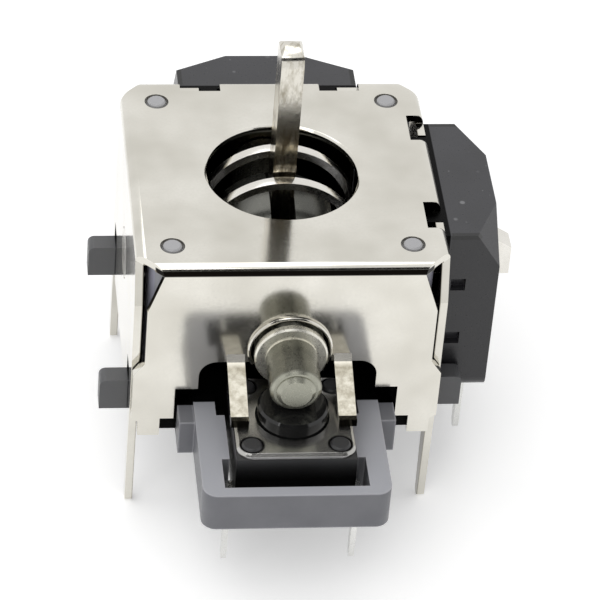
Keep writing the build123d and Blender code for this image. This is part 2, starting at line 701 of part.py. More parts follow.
def pot_facet():
    """Block whose face slants across the right upper front corner."""
    half = POT_WIDTH / 2
    front = -COVER_HALF - POT_DEPTH
    inner = Vector(POT_FACET_TOP_HALF, front, POT_TOP)
    lower = Vector(half, front, POT_TOP - POT_FACET_DROP)
    back = Vector(half, front + POT_FACET_BACK, POT_TOP)
    normal = (lower - inner).cross(back - inner).normalized()
    cut = Plane(inner, z_dir=normal)
    return cut * Pos(0, 0, POT_WIDTH / 2) * Box(2 * POT_WIDTH, 2 * POT_WIDTH, POT_WIDTH)


def make_pot_housing():
    """Moulded housing with its hooks, facing -Y."""
    half = POT_WIDTH / 2
    front = COVER_HALF + POT_DEPTH
    body = block((-half, half), (-front, -COVER_HALF), (POT_BOTTOM, POT_TOP))
    body = fillet(body.edges().filter_by(Axis.Y).group_by(Axis.Z)[0], POT_LOWER_CORNER)
    body = body - both_sides(pot_facet())
    cavity_half = half - POT_WALL
    cavity_depth = pot_depth(0, BOARD_FRONT)
    body = body - block(
        (-cavity_half, cavity_half),
        (-cavity_depth[1], -cavity_depth[0]),
        (POT_BOTTOM + POT_WALL, POT_TOP - POT_WALL),
    )
    body = body - pot_windows()
    for name, place in terminal_places():
        room = TERMINAL_WIDTH / 2 + BOARD_FIT
        body = body - block(
            (place - room, place + room),
            (-COVER_HALF - BOARD_FRONT - TERMINAL_THICKNESS - BOARD_FIT, -COVER_HALF - BOARD_FRONT),
            (POT_BOTTOM, TERMINAL_TOP + BOARD_FIT),
        )
    for height in (POT_SIDE_NOTCH_LOW, POT_SIDE_NOTCH_HIGH):
        notch = block(
            (half - POT_SIDE_NOTCH_DEPTH, half),
            (-COVER_HALF - POT_SIDE_NOTCH_OFF - POT_SIDE_NOTCH, -COVER_HALF - POT_SIDE_NOTCH_OFF),
            (height - POT_SIDE_NOTCH / 2, height + POT_SIDE_NOTCH / 2),
        )
        body = body - both_sides(notch)
    hook = block(
        (HOOK_NOTCH_NEAR + HOOK_FIT, HOOK_NOTCH_MIDDLE - HOOK_FIT),
        (-COVER_HALF, -COVER_HALF + HOOK_REACH),
        (POT_TOP - HOOK_HEIGHT, POT_TOP),
    )
    return one(body + both_sides(hook))


def make_pot_board():
    """Element board with its clearance hole, facing -Y."""
    cavity_half = POT_WIDTH / 2 - POT_WALL - BOARD_FIT
    depths = pot_depth(BOARD_BACK, BOARD_FRONT)
    board = block(
        (-cavity_half, cavity_half),
        (-depths[1], -depths[0]),
        (POT_BOTTOM + POT_WALL + BOARD_FIT, POT_TOP - POT_WALL - BOARD_FIT),
    )
    return one(board - along_y(ROTOR_RADIUS + ROTOR_FIT, -depths[1], -depths[0]))


def make_rotor():
    """Rotor with its flange, two lobes and the slot for the blade, facing -Y."""
    flange_depths = pot_depth(ROTOR_GAP, ROTOR_GAP + ROTOR_FLANGE)
    hub_end = COVER_HALF + POT_DEPTH + ROTOR_RISE
    flange = along_y(ROTOR_FLANGE_RADIUS, -flange_depths[0], -flange_depths[1])
    hub = along_y(ROTOR_RADIUS, -flange_depths[1], -hub_end)
    hub = chamfer(hub.edges().filter_by(GeomType.CIRCLE).sort_by(Axis.Y)[0], ROTOR_EDGE)
    channel = block(
        (-ROTOR_CHANNEL / 2, ROTOR_CHANNEL / 2),
        (-hub_end, -COVER_HALF - ROTOR_CHANNEL_FLOOR),
        (PIVOT_HEIGHT - ROTOR_RADIUS, PIVOT_HEIGHT + ROTOR_RADIUS),
    )
    half = BLADE_THICKNESS / 2 + BLADE_FIT
    rise = BLADE_HEIGHT / 2 + BLADE_ROCK_FIT
    slot = block((-half, half), (-hub_end, -COVER_HALF), (PIVOT_HEIGHT - rise, PIVOT_HEIGHT + rise))
    return one(flange + hub - channel - slot)


def make_wiper():
    """Sprung contact ring on the rotor's flange with two fingers, facing -Y."""
    start = ROTOR_GAP + ROTOR_FLANGE
    near, far = pot_depth(start, start + WIPER_THICKNESS)
    ring = along_y(WIPER_OUTER, -near, -far) - along_y(WIPER_INNER, -near, -far)
    reach = COVER_HALF + BOARD_BACK - WIPER_GAP
    middle = (WIPER_INNER + WIPER_OUTER) / 2
    finger = block(
        (middle - WIPER_FINGER / 2, middle + WIPER_FINGER / 2),
        (-reach, -far),
        (PIVOT_HEIGHT - WIPER_FINGER / 2, PIVOT_HEIGHT + WIPER_FINGER / 2),
    )
    return one(ring + both_sides(finger))


def at_switch(piece):
    """Moves a piece from the origin's axis to the switch's axis."""
    return Pos(0, -SWITCH_CENTRE, 0) * piece


def rivets(radius, bottom, top):
    """Four rivets at the corners of the switch."""
    places = GridLocations(RIVET_SPACING, RIVET_SPACING, 2, 2)
    return [place * disc(radius, bottom, top) for place in places]


def contact_blank():
    """Right contact of the switch: two legs joined by a strip inside the body."""
    half = CONTACT_THICKNESS / 2
    legs = []
    for side in (-1, 1):
        place = side * CONTACT_LEG_PITCH / 2
        profile = make_face(Plane.YZ * Polyline(
            (-CONTACT_WIDTH / 2, CONTACT_HEIGHT),
            (CONTACT_WIDTH / 2, CONTACT_HEIGHT),
            (CONTACT_WIDTH / 2, 0),
            (CONTACT_TIP_WIDTH / 2, -CONTACT_LENGTH),
            (-CONTACT_TIP_WIDTH / 2, -CONTACT_LENGTH),
            (-CONTACT_WIDTH / 2, 0),
            close=True,
        ))
        leg_piece = Pos(CONTACT_LEG_X - half, place, 0) * extrude(profile, CONTACT_THICKNESS, dir=(1, 0, 0))
        shelf = block(
            (CONTACT_STRIP_X, CONTACT_LEG_X + half),
            (place - CONTACT_WIDTH / 2, place + CONTACT_WIDTH / 2),
            (CONTACT_HEIGHT - CONTACT_THICKNESS, CONTACT_HEIGHT),
        )
        legs.append(leg_piece + shelf)
    reach = CONTACT_LEG_PITCH / 2 + CONTACT_WIDTH / 2
    strip = block(
        (CONTACT_STRIP_X - CONTACT_WIDTH, CONTACT_STRIP_X),
        (-reach, reach),
        (CONTACT_HEIGHT - CONTACT_THICKNESS, CONTACT_HEIGHT),
    )
    return strip + legs[0] + legs[1]


def make_switch_base():
    """Moulded switch body with its cavity, contact slots and rivet heads."""
    half = SWITCH_SIZE / 2
    body = block((-half, half), (-half, half), (0, SWITCH_BODY))
    body = body - disc(SWITCH_CAVITY_RADIUS, SWITCH_CAVITY_FLOOR, SWITCH_BODY)
    for rivet in rivets(RIVET_RADIUS, SWITCH_BODY, SWITCH_TOP + RIVET_RISE):
        top_edge = rivet.faces().sort_by(Axis.Z)[-1].edges()
        body = body + chamfer(top_edge, RIVET_RISE)
    return one(at_switch(body - both_sides(contact_blank())))


def make_switch_cover():
    """Steel plate on the switch, with holes for the plunger and the rivets."""
    half = SWITCH_SIZE / 2 - SWITCH_SHEET_INSET
    plate = block((-half, half), (-half, half), (SWITCH_BODY, SWITCH_TOP))
    plate = fillet(plate.edges().filter_by(Axis.Z), SWITCH_SHEET_CORNER)
    plate = chamfer(plate.faces().sort_by(Axis.Z)[-1].edges(), SWITCH_SHEET_EDGE)
    plate = plate - disc(PLUNGER_RADIUS + PLUNGER_FIT, SWITCH_BODY, SWITCH_TOP)
    for rivet in rivets(RIVET_RADIUS + RIVET_FIT, SWITCH_BODY, SWITCH_TOP):
        plate = plate - rivet
    return one(at_switch(plate))


def make_switch_plunger():
    """Plunger with its flange under the plate and a nub over the dome."""
    stem = disc(PLUNGER_RADIUS, PLUNGER_FLANGE_BOTTOM, PLUNGER_TOP)
    stem = chamfer(stem.faces().sort_by(Axis.Z)[-1].edges(), PLUNGER_EDGE)
    flange = disc(PLUNGER_FLANGE_RADIUS, PLUNGER_FLANGE_BOTTOM, SWITCH_BODY - PLUNGER_FLANGE_FIT)
    nub = disc(PLUNGER_NUB_RADIUS, DOME_TOP + PLUNGER_CONTACT_FIT, PLUNGER_FLANGE_BOTTOM)
    return one(at_switch(stem + flange + nub))


def make_switch_dome():
    """Shallow snap dome with a flat crown under the plunger."""
    dome = Pos(0, 0, SWITCH_CAVITY_FLOOR + DOME_RISE / 2) * Cone(DOME_RADIUS, DOME_CROWN_RADIUS, DOME_RISE)
    hollow = Pos(0, 0, -DOME_THICKNESS) * dome
    return one(at_switch(dome - hollow))


def make_pieces():
    """All pieces of the module by node name."""
    pieces = {
        "cover": make_cover(),
        "base_frame": make_base_frame(),
        "lower_arm": make_lower_arm(),
        "stick_pin": make_stick_pin(),
        "stick": make_stick(),
        "upper_arm": make_upper_arm(),
        "spring_plate": make_spring_plate(),
        "return_spring": make_return_spring(),
        "switch_base": make_switch_base(),
        "switch_cover": make_switch_cover(),
        "switch_plunger": make_switch_plunger(),
        "switch_dome": make_switch_dome(),
        "switch_contact_right": one(at_switch(contact_blank())),
        "switch_contact_left": one(at_switch(mirror(contact_blank(), Plane.YZ))),
    }
    for name, side in (("right_pot", RIGHT), ("rear_pot", REAR)):
        pieces[name + "_housing"] = side * make_pot_housing()
        pieces[name + "_board"] = side * make_pot_board()
        pieces[name + "_rotor"] = side * make_rotor()
        pieces[name + "_wiper"] = side * make_wiper()
        for place_name, place in terminal_places():
            pieces[name + "_terminal_" + place_name] = side * pot_terminal(place)
    return pieces


os.makedirs("parts", exist_ok=True)
for node, solid in make_pieces().items():
    export_step(solid, os.path.join("parts", node + ".step"))
    print(node, round(solid.volume, 3))
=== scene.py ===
import json
import math
import bmesh
import bpy
from mathutils import Matrix, Vector

# Looks of the two-axis thumbstick module, in metres and in the frame of the solids.

MM = 0.001
PER_MM = 1000.0

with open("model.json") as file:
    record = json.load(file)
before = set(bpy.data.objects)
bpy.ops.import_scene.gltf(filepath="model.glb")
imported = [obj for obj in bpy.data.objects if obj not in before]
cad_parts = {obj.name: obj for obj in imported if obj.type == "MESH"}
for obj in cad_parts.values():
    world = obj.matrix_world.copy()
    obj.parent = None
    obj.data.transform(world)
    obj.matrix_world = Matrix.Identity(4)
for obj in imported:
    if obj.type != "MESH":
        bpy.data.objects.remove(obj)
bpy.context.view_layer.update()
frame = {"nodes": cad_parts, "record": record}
nodes = frame["nodes"]

# Camera, at the photograph's angle and aimed at the module's middle
VIEW_AZIMUTH = math.radians(-8.10)
VIEW_ELEVATION = math.radians(37.21)
VIEW_ROLL = math.radians(4.62)
VIEW_DISTANCE = 188.0 * MM
VIEW_TARGET = Vector((0.0, 0.0, 10.8 * MM))
AIM_RIGHT = 0.0048
AIM_UP = -0.0348
SENSOR = 36.0
LENS = 222.0
CLIP_NEAR = 0.001
CLIP_FAR = 10.0

# Places in millimetres where the cover's look changes
EDGE_BLEND = 0.05
BEND_FRONT = -7.45
CREASE_LOW = 10.33
CREASE_HIGH = 10.58
COVER_INNER = 7.5
COVER_CEILING = 10.42
NOTCH_OUT = (6.85, 7.87)
NOTCH_ALONG = (2.57, 4.73)
NOTCH_HEIGHTS = (10.36, 10.74)
TAB_START = -8.1
TAB_BLEND = 0.3
TAB_END = -11.33

# Places in millimetres where the base's look changes
WELL_REACH = 6.75
NOTCH_REACH = 7.9
NOTCH_TOP = 3.1
STAKE_START = 10.35
STAKE_BLEND = 0.1
FRAME_TOP = 2.19
FRAME_TOP_BLEND = 0.06
PEG_OUT = (7.9, 12.0)
PEG_ALONG = (-8.0, 8.0)
PEG_HEIGHTS = (0.0, 5.0)
POST_OUT = (6.9, 7.5)
POST_ALONG = (-7.5, -4.0)
POST_HEIGHTS = (3.2, 10.3)

# Places in millimetres where the potentiometers' look changes
SHADE_REACH = 8.15
SHADE_TOP = 10.5
POT_OUT = (8.2, 12.5)
POT_END = (4.67, 4.9)
POT_SEAM = (4.48, 4.9)
POT_HEIGHTS = (0.0, 10.5)
SEAM_HEIGHTS = (10.02, 10.5)

# Places in millimetres where the look of the arm, the stick and the click switch changes
SADDLE_REACH = 4.2
SADDLE_TOP = 10.0
FLANGE_HALF = (0.0, 2.0)
FLANGE_ALONG = (-8.6, -8.0)
FLANGE_HEIGHTS = (0.0, 10.0)
ROD_TIP = -11.0
STICK_DARK_TOP = 13.6
STICK_BRIGHT_FOOT = 15.2
SWITCH_SHADE_TOP = 3.1
SWITCH_SHADE_LOW = 1.9
SWITCH_CENTRE = 10.46
RIVET_PLACE = 2.2
RIVET_RING = 0.68
RIVET_RING_BLEND = 0.08

# Tones of metals, each from its dark patches to its bright ones
NICKEL = ((0.60, 0.58, 0.52), (0.75, 0.73, 0.67))
TAB_WARM = ((0.27, 0.25, 0.20), (0.44, 0.42, 0.36))
CASTING = ((0.165, 0.165, 0.135), (0.24, 0.235, 0.195))
PIN_STEEL = ((0.50, 0.48, 0.45), (0.66, 0.64, 0.61))
BOW_STEEL = ((0.66, 0.64, 0.59), (0.80, 0.78, 0.73))
SPRING_STEEL = ((0.50, 0.49, 0.47), (0.66, 0.65, 0.62))
SWITCH_STEEL = ((0.38, 0.375, 0.36), (0.56, 0.55, 0.53))
CONTACT_TIN = ((0.68, 0.68, 0.66), (0.84, 0.84, 0.82))
STICK_UPPER = ((0.40, 0.37, 0.30), (0.68, 0.655, 0.59))
STICK_LOWER = ((0.20, 0.165, 0.11), (0.70, 0.64, 0.52))

# Tones of plastics and board
GREY_NYLON = ((0.14, 0.142, 0.157), (0.175, 0.177, 0.192))
POT_BLACK = ((0.026, 0.026, 0.029), (0.035, 0.035, 0.040))
SWITCH_BLACK = ((0.016, 0.016, 0.017), (0.024, 0.024, 0.025))
PLUNGER_BLACK = ((0.007, 0.007, 0.007), (0.010, 0.010, 0.010))
ROTOR_WHITE = ((0.86, 0.85, 0.83), (0.92, 0.92, 0.91))
BOARD_BROWN = ((0.050, 0.027, 0.018), (0.095, 0.055, 0.037))

# Single tones painted at a place or on edges, among them painted shade, painted light and painted highlights
# Painted crease shadow: a dark line under the cover's front bend
CREASE_PAINTED_SHADOW = (0.006, 0.005, 0.004)
# Painted shade inside the cover
COVER_INSIDE_PAINTED_SHADE = (0.20, 0.18, 0.135)
TAB_END_TONE = (0.03, 0.028, 0.022)
# Painted shade in the notches beside the potentiometers
NOTCH_PAINTED_SHADE = (0.02, 0.018, 0.015)
# Painted light: the frame's top faces made paler than its sides
FRAME_TOP_PAINTED_LIGHT = (0.36, 0.365, 0.395)
# Painted highlight on the grey plastic's edges
NYLON_EDGE_HIGHLIGHT = (0.42, 0.42, 0.445)
PEG_TONE = (0.085, 0.086, 0.09)
# Painted light on the corner posts
POST_PAINTED_LIGHT = (0.42, 0.42, 0.50)
STAKE_TONE = (0.40, 0.40, 0.41)
DUST_TONE = (0.26, 0.26, 0.27)
# Painted highlight on the black housings' edges
POT_EDGE_HIGHLIGHT = (0.075, 0.075, 0.085)
POT_END_TONE = (0.016, 0.016, 0.018)
SEAM_TONE = (0.004, 0.004, 0.004)
# Painted highlight on the switch plate's rim
RIM_HIGHLIGHT = (0.80, 0.79, 0.74)
# Painted shade in rings round the rivets
RIVET_PAINTED_SHADE = (0.04, 0.04, 0.04)
# Painted shade on the saddle inside the opening
SADDLE_PAINTED_SHADE = (0.10, 0.10, 0.09)
# Painted highlight on the rod's flange
FLANGE_HIGHLIGHT = (0.78, 0.76, 0.68)
ROD_TIP_TONE = (0.36, 0.36, 0.30)
SPOT_TONE = (0.05, 0.04, 0.03)
SHADE_TONE = (0.002, 0.002, 0.002)

# Ranges of a noise or mask over which a tone or value changes
NOISE_RANGE = (0.3, 0.7)
PLASTIC_RANGE = (0.3, 0.72)
TAB_RANGE = (0.35, 0.65)
STICK_UPPER_RANGE = (0.33, 0.55)
STICK_LOWER_RANGE = (0.42, 0.58)
SPOT_RANGE = (0.62, 0.70)
DUST_THICK_RANGE = (0.5, 0.7)
DUST_THIN_RANGE = (0.35, 0.55)
EDGE_RANGE = (0.75, 0.95)
POT_EDGE_RANGE = (0.72, 0.90)
WHOLE_RANGE = (0.0, 1.0)

# Dust, as specks per millimetre, their size and how much of them shows
DUST_SMALL = 2.3
DUST_LARGE = 0.75
SPECK_SIZE = 0.12
SPECK_CORE = 0.6
DUST_THICK = 0.55
DUST_THIN = 0.6

# Gloss, grain and edges
GRAIN_SHARE = 0.25
STICK_ROUGH = (0.26, 0.10)
BOARD_ROUGH = (0.4, 0.6)
CASTING_METALLIC = 0.85
FLOOR_ROUGH = 0.7
CARD_ROUGH = 0.9
NYLON_EDGE_WIDTH = 0.2
POT_EDGE_WIDTH = 0.15
RIM_WIDTH = 0.12
EDGE_SAMPLES = 6

# Stage: floor, reflection card and world
FLOOR_HEIGHT = -5.42 * MM
FLOOR_RADIUS = 75.0 * MM
FLOOR_SIDES = 96
FLOOR_TONE = (0.90, 0.90, 0.90, 1.0)
FLOOR_GLOW = 0.35
FLOOR_FADE = (45.0, 74.0)
WHITE = (1.0, 1.0, 1.0, 1.0)
WORLD_FILL = 0.5
CARD_TONE = (0.02, 0.02, 0.02, 1.0)
CARD_RADIUS = 110.0 * MM
CARD_LOW = 62.0 * MM
CARD_HIGH = 128.0 * MM
CARD_HALF_ANGLE = 45.0
CARD_STEPS = 18
LAMP_TARGET = Vector((0.0, 0.0, 5.0 * MM))

# Small rounded edges, as widths in millimetres
EDGE_ROUNDING = {
    "cover": 0.05,
    "base_frame": 0.15,
    "stick": 0.17,
    "upper_arm": 0.05,
    "switch_cover": 0.03,
    "switch_base": 0.05,
    "right_pot_housing": 0.10,
    "rear_pot_housing": 0.10,
    "right_pot_rotor": 0.06,
    "rear_pot_rotor": 0.06,
}
ROUNDING_SEGMENTS = 3
ROUNDING_ANGLE = math.radians(35.0)
WELD_DISTANCE = 0.0005 * MM


# Small helpers for procedural materials


def new_material(name):
    """Material with a principled shader, its node tree and that shader."""
    material = bpy.data.materials.new(name)
    material.use_nodes = True
    tree = material.node_tree
    return material, tree, tree.nodes["Principled BSDF"]


def space(tree, stretch=(1.0, 1.0, 1.0)):
    """Object coordinates in millimetres, scaled along each axis."""
    source = tree.nodes.new("ShaderNodeTexCoord")
    mapping = tree.nodes.new("ShaderNodeMapping")
    mapping.inputs["Scale"].default_value = [PER_MM * factor for factor in stretch]
    tree.links.new(source.outputs["Object"], mapping.inputs["Vector"])
    return mapping.outputs["Vector"]


def noise(tree, vector, scale, detail=3.0, rough=0.5):
    """Fractal noise, scale in features per millimetre."""
    node = tree.nodes.new("ShaderNodeTexNoise")
    node.inputs["Scale"].default_value = scale
    node.inputs["Detail"].default_value = detail
    node.inputs["Roughness"].default_value = rough
    tree.links.new(vector, node.inputs["Vector"])
    return node.outputs["Fac"]


def tone_ramp(tree, factor, tones, over=NOISE_RANGE):
    """Colour that runs from the first tone to the second while the factor runs over a range."""
    node = tree.nodes.new("ShaderNodeValToRGB")
    for element, place, tone in zip(node.color_ramp.elements, over, tones):
        element.position = place
        element.color = (*tone, 1.0)
    tree.links.new(factor, node.inputs["Fac"])
    return node.outputs["Color"]


def value_ramp(tree, factor, low, high, over=NOISE_RANGE):
    """Value that runs from low to high while the factor runs over a range."""
    node = tree.nodes.new("ShaderNodeMapRange")
    node.inputs["From Min"].default_value = over[0]
    node.inputs["From Max"].default_value = over[1]
    node.inputs["To Min"].default_value = low
    node.inputs["To Max"].default_value = high
    tree.links.new(factor, node.inputs["Value"])
    return node.outputs["Result"]


def value_math(tree, operation, *values):
    """Math operation on one or two values."""
    node = tree.nodes.new("ShaderNodeMath")
    node.operation = operation
    for value, place in zip(values, node.inputs):
        tree.links.new(value, place)
    return node.outputs[0]


def vector_math(tree, operation, vector, other=None):
    """Vector operation on a vector, with a plain vector as its second input."""
    node = tree.nodes.new("ShaderNodeVectorMath")
    node.operation = operation
    tree.links.new(vector, node.inputs[0])
    if other is not None:
        node.inputs[1].default_value = other
    return node.outputs["Value" if operation == "LENGTH" else "Vector"]


def mix(tree, factor, first, second):
    """First colour where the factor is 0, second where it is 1; the second may be a plain colour."""
    node = tree.nodes.new("ShaderNodeMix")
    node.data_type = "RGBA"
    tree.links.new(factor, node.inputs["Factor"])
    places = {socket.name: socket for socket in node.inputs if socket.type == "RGBA"}
    tree.links.new(first, places["A"])
    if isinstance(second, tuple):
        places["B"].default_value = (*second, 1.0)
    else:
        tree.links.new(second, places["B"])
    return [socket for socket in node.outputs if socket.type == "RGBA"][0]


def bump(tree, height, strength, depth, under=None):
    """Bump of a given depth in millimetres, over another bump if one is given."""
    node = tree.nodes.new("ShaderNodeBump")
    node.inputs["Strength"].default_value = strength
    node.inputs["Distance"].default_value = depth * MM
    tree.links.new(height, node.inputs["Height"])
    if under is not None:
        tree.links.new(under, node.inputs["Normal"])
    return node.outputs["Normal"]


def specks(tree, vector, scale):
    """Scattered round specks: 1 inside a speck, 0 outside."""
    node = tree.nodes.new("ShaderNodeTexVoronoi")
    node.inputs["Scale"].default_value = scale
    tree.links.new(vector, node.inputs["Vector"])
    return value_ramp(tree, node.outputs["Distance"], 1.0, 0.0, (SPECK_SIZE * SPECK_CORE, SPECK_SIZE))


# Masks by place on the part, in millimetres


def coordinate(tree, vector, axis):
    """One coordinate of a vector."""
    split = tree.nodes.new("ShaderNodeSeparateXYZ")
    tree.links.new(vector, split.inputs["Vector"])
    return split.outputs[axis]


def step_mask(tree, vector, axis, zero_at, one_at):
    """0 up to one coordinate along an axis, 1 from the other one on."""
    return value_ramp(tree, coordinate(tree, vector, axis), 0.0, 1.0, (zero_at, one_at))


def within(tree, value, low, high):
    """1 between two values, 0 outside them."""
    above = value_ramp(tree, value, 0.0, 1.0, (low - EDGE_BLEND, low))
    below = value_ramp(tree, value, 1.0, 0.0, (high, high + EDGE_BLEND))
    return value_math(tree, "MULTIPLY", above, below)


def in_box(tree, vector, mirrored, *ranges):
    """1 inside the ranges of X, Y and Z, 0 outside them, on both sides of 0 along the mirrored axis."""
    mask = None
    for axis, ends in zip("XYZ", ranges):
        value = coordinate(tree, vector, axis)
        if axis == mirrored:
            value = value_math(tree, "ABSOLUTE", value)
        part = within(tree, value, *ends)
        mask = part if mask is None else value_math(tree, "MULTIPLY", mask, part)
    return mask


def at_both_pots(tree, vector, out, along, heights):
    """1 in a box at both ends of each potentiometer, out from the stick and along the wall."""
    right = in_box(tree, vector, "Y", out, along, heights)
    rear = in_box(tree, vector, "X", along, out, heights)
    return value_math(tree, "MAXIMUM", right, rear)


def inside(tree, vector, reach, ceiling):
    """1 nearer to the stick's axis than reach along X and Y, and below the ceiling, 0 elsewhere."""
    size = vector_math(tree, "ABSOLUTE", vector)
    far = value_math(tree, "MAXIMUM", coordinate(tree, size, "X"), coordinate(tree, size, "Y"))
    near = value_ramp(tree, far, 1.0, 0.0, (reach - EDGE_BLEND, reach))
    below = step_mask(tree, vector, "Z", ceiling, ceiling - EDGE_BLEND)
    return value_math(tree, "MULTIPLY", near, below)


def edge_mask(tree, width, over=EDGE_RANGE):
    """1 on edges, from normals rounded over a width in millimetres."""
    rounded = tree.nodes.new("ShaderNodeBevel")
    rounded.samples = EDGE_SAMPLES
    rounded.inputs["Radius"].default_value = width * MM
    plain = tree.nodes.new("ShaderNodeNewGeometry")
    dot = tree.nodes.new("ShaderNodeVectorMath")
    dot.operation = "DOT_PRODUCT"
    tree.links.new(rounded.outputs["Normal"], dot.inputs[0])
    tree.links.new(plain.outputs["Normal"], dot.inputs[1])
    return value_ramp(tree, dot.outputs["Value"], 1.0, 0.0, over)


def repaint(material, mask, colour):
    """Lays a colour or colour socket over a material's own, where the mask is 1."""
    tree = material.node_tree
    shader = tree.nodes["Principled BSDF"]
    base = shader.inputs["Base Color"].links[0].from_socket
    tree.links.new(mix(tree, mask, base, colour), shader.inputs["Base Color"])


def shade(material, mask):
    """Painted shade: black without gloss, where the mask is 1."""
    repaint(material, mask, SHADE_TONE)
    tree = material.node_tree
    metallic = tree.nodes["Principled BSDF"].inputs["Metallic"]
    if metallic.is_linked:
        mask = value_math(tree, "MAXIMUM", mask, metallic.links[0].from_socket)
    tree.links.new(mask, metallic)


# Materials


def metal(name, tones, rough_low, rough_high, patch=0.35, relief=0.002):
    """Plated sheet: slow patches of tone, fine grain in the gloss, slight waviness."""
    material, tree, shader = new_material(name)
    plain = space(tree)
    slow = noise(tree, plain, scale=patch, detail=2.0)
    fine = noise(tree, plain, scale=6.0, detail=5.0, rough=0.65)
    tone = tone_ramp(tree, slow, tones)
    tone = mix(tree, value_ramp(tree, fine, 0.0, GRAIN_SHARE), tone, tones[0])
    tree.links.new(tone, shader.inputs["Base Color"])
    tree.links.new(value_ramp(tree, fine, rough_low, rough_high), shader.inputs["Roughness"])
    wave = bump(tree, noise(tree, plain, scale=0.5, detail=1.0), strength=0.35, depth=0.01)
    grain = bump(tree, fine, strength=0.3, depth=relief, under=wave)
    tree.links.new(grain, shader.inputs["Normal"])
    shader.inputs["Metallic"].default_value = 1.0
    return material


def plastic(name, tones, rough_low, rough_high, relief=0.004):
    """Moulded plastic: fine grain and slight tone change."""
    material, tree, shader = new_material(name)
    plain = space(tree)
    slow = noise(tree, plain, scale=0.4)
    fine = noise(tree, plain, scale=9.0, detail=4.0, rough=0.6)
    tree.links.new(tone_ramp(tree, slow, tones, PLASTIC_RANGE), shader.inputs["Base Color"])
    tree.links.new(value_ramp(tree, fine, rough_low, rough_high), shader.inputs["Roughness"])
    tree.links.new(bump(tree, fine, strength=0.35, depth=relief), shader.inputs["Normal"])
    return material


def stick_steel():
    """Stamped steel: bright sheared upper part, brown spotted lower part on the cut edge."""
    material, tree, shader = new_material("stamped_steel")
    plain = space(tree)
    drawn = space(tree, stretch=(1.0, 1.0, 0.35))
    mottle = noise(tree, drawn, scale=2.2, detail=4.0, rough=0.65)
    spots = noise(tree, plain, scale=4.5, detail=3.0, rough=0.6)
    low = step_mask(tree, plain, "Z", STICK_BRIGHT_FOOT, STICK_DARK_TOP)
    upper = tone_ramp(tree, mottle, STICK_UPPER, STICK_UPPER_RANGE)
    lower = tone_ramp(tree, mottle, STICK_LOWER, STICK_LOWER_RANGE)
    tone = mix(tree, low, upper, lower)
    dark = value_math(tree, "MULTIPLY", low, value_ramp(tree, spots, 0.0, 1.0, SPOT_RANGE))
    tree.links.new(mix(tree, dark, tone, SPOT_TONE), shader.inputs["Base Color"])
    tree.links.new(value_ramp(tree, mottle, *STICK_ROUGH), shader.inputs["Roughness"])
    tree.links.new(bump(tree, mottle, strength=0.5, depth=0.02), shader.inputs["Normal"])
    shader.inputs["Metallic"].default_value = 1.0
    return material


def cover_steel():
    """Bright plate of the cover, mottled on its tabs, with painted shade inside it and in its notches and a
    painted crease shadow under its front bend.
    """
    material = metal("nickel_steel", NICKEL, rough_low=0.10, rough_high=0.16, patch=0.3)
    tree = material.node_tree
    plain = space(tree)
    mottle = noise(tree, plain, scale=2.6, detail=4.0, rough=0.6)
    warm = tone_ramp(tree, mottle, TAB_WARM, TAB_RANGE)
    repaint(material, step_mask(tree, plain, "Y", TAB_START, TAB_START - TAB_BLEND), warm)
    # Painted crease shadow: a dark line along the front bend
    front = step_mask(tree, plain, "Y", BEND_FRONT + EDGE_BLEND, BEND_FRONT)
    band = within(tree, coordinate(tree, plain, "Z"), CREASE_LOW, CREASE_HIGH)
    repaint(material, value_math(tree, "MULTIPLY", front, band), CREASE_PAINTED_SHADOW)
    # Painted shade inside the cover
    repaint(material, inside(tree, plain, COVER_INNER, COVER_CEILING), COVER_INSIDE_PAINTED_SHADE)
    repaint(material, step_mask(tree, plain, "Y", TAB_END + EDGE_BLEND, TAB_END), TAB_END_TONE)
    # Painted shade in the notches beside the potentiometers
    repaint(material, at_both_pots(tree, plain, NOTCH_OUT, NOTCH_ALONG, NOTCH_HEIGHTS), NOTCH_PAINTED_SHADE)
    return material


def base_nylon():
    """Grey moulded plastic: painted light on the top faces, painted highlights on edges, paler stake heads,
    darker pegs, painted light on the corner posts, painted shade inside the cover.
    """
    material = plastic("grey_nylon", GREY_NYLON, rough_low=0.34, rough_high=0.5, relief=0.003)
    tree = material.node_tree
    plain = space(tree)
    # Painted light: the frame's top faces made paler
    repaint(material, step_mask(tree, plain, "Z", FRAME_TOP - FRAME_TOP_BLEND, FRAME_TOP), FRAME_TOP_PAINTED_LIGHT)
    # Painted highlight on edges
    repaint(material, edge_mask(tree, NYLON_EDGE_WIDTH), NYLON_EDGE_HIGHLIGHT)
    repaint(material, in_box(tree, plain, "X", PEG_OUT, PEG_ALONG, PEG_HEIGHTS), PEG_TONE)
    # Painted light on the corner posts
    repaint(material, in_box(tree, plain, "X", POST_OUT, POST_ALONG, POST_HEIGHTS), POST_PAINTED_LIGHT)
    # Painted shade inside the cover and behind the wall notches
    shade(material, inside(tree, plain, WELL_REACH, STAKE_START))
    shade(material, inside(tree, plain, NOTCH_REACH, NOTCH_TOP))
    repaint(material, step_mask(tree, plain, "Z", STAKE_START, STAKE_START + STAKE_BLEND), STAKE_TONE)
    return material


